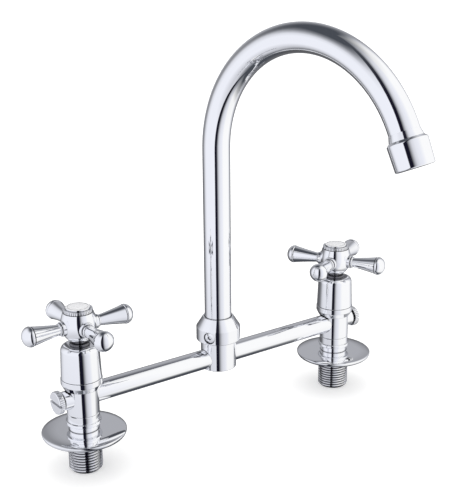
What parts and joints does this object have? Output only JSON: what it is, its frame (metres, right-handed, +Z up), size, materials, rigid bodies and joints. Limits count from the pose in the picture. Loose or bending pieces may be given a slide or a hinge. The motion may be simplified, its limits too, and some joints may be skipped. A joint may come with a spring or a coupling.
{
  "type": "bridge kitchen faucet",
  "caption": "Deck-mounted bridge kitchen faucet with a swivelling gooseneck spout, a nut-held swivel on a tee, cross handles on quarter-turn valves, deck flanges and threaded inlet shanks.",
  "frame": {"origin": "on the deck plane, midway between the axes of the two inlet shanks, on the swivel axis of the spout", "axes": "+X along the bridge towards the right-hand valve, -Y the way the spout reaches over the sink, +Z up from the deck"},
  "size_m": [0.2725, 0.1929, 0.2697],
  "materials": {
    "chrome": "polished chromium plate on brass",
    "brass": "machined brass",
    "steel": "stainless steel screw",
    "rubber": "black rubber seal",
    "ceramic": "lapped alumina ceramic, stood in for by gloss plastic",
    "plastic": "moulded acetal"
  },
  "bodies": {
    "faucet_body": {"left_valve_body": "chrome", "left_shank": "chrome", "left_flange": "chrome", "left_flange_gasket": "rubber", "left_side_plug": "chrome", "left_plug_seal": "rubber", "left_bonnet": "chrome", "left_headwork": "brass", "left_seat_seal": "rubber", "left_fixed_disc": "ceramic", "left_bridge_tube": "chrome", "right_valve_body": "chrome", "right_shank": "chrome", "right_flange": "chrome", "right_flange_gasket": "rubber", "right_side_plug": "chrome", "right_plug_seal": "rubber", "right_bonnet": "chrome", "right_headwork": "brass", "right_seat_seal": "rubber", "right_fixed_disc": "ceramic", "right_bridge_tube": "chrome", "bridge_tee": "chrome", "spout_nut": "chrome", "nut_screw": "steel", "swivel_washer": "plastic", "top_washer": "plastic"},
    "spout": {"spout_ferrule": "brass", "spout_oring_upper": "rubber", "spout_oring_lower": "rubber", "spout_tube": "chrome", "spout_end": "chrome", "aerator_housing": "chrome", "aerator_gasket": "rubber", "aerator_insert": "plastic"},
    "left_handle": {"left_moving_disc": "ceramic", "left_spindle": "brass", "left_spindle_oring": "rubber", "left_handle_hub": "chrome", "left_handle_arm_1": "chrome", "left_handle_arm_2": "chrome", "left_handle_arm_3": "chrome", "left_handle_arm_4": "chrome", "left_handle_screw": "steel", "left_index_cap": "chrome"},
    "right_handle": {"right_moving_disc": "ceramic", "right_spindle": "brass", "right_spindle_oring": "rubber", "right_handle_hub": "chrome", "right_handle_arm_1": "chrome", "right_handle_arm_2": "chrome", "right_handle_arm_3": "chrome", "right_handle_arm_4": "chrome", "right_handle_screw": "steel", "right_index_cap": "chrome"}
  },
  "joints": [
    {"name": "spout_swivel", "type": "hinge", "parent": "faucet_body", "child": "spout", "pos_m": [0, 0, 0.0446], "axis": [0, 0, 1], "continuous": true},
    {"name": "left_handle_turn", "type": "hinge", "parent": "faucet_body", "child": "left_handle", "pos_m": [-0.1016, 0, 0.071], "axis": [0, 0, 1], "range_deg": [0, 90]},
    {"name": "right_handle_turn", "type": "hinge", "parent": "faucet_body", "child": "right_handle", "pos_m": [0.1016, 0, 0.071], "axis": [0, 0, 1], "range_deg": [-90, 0]}
  ]
}
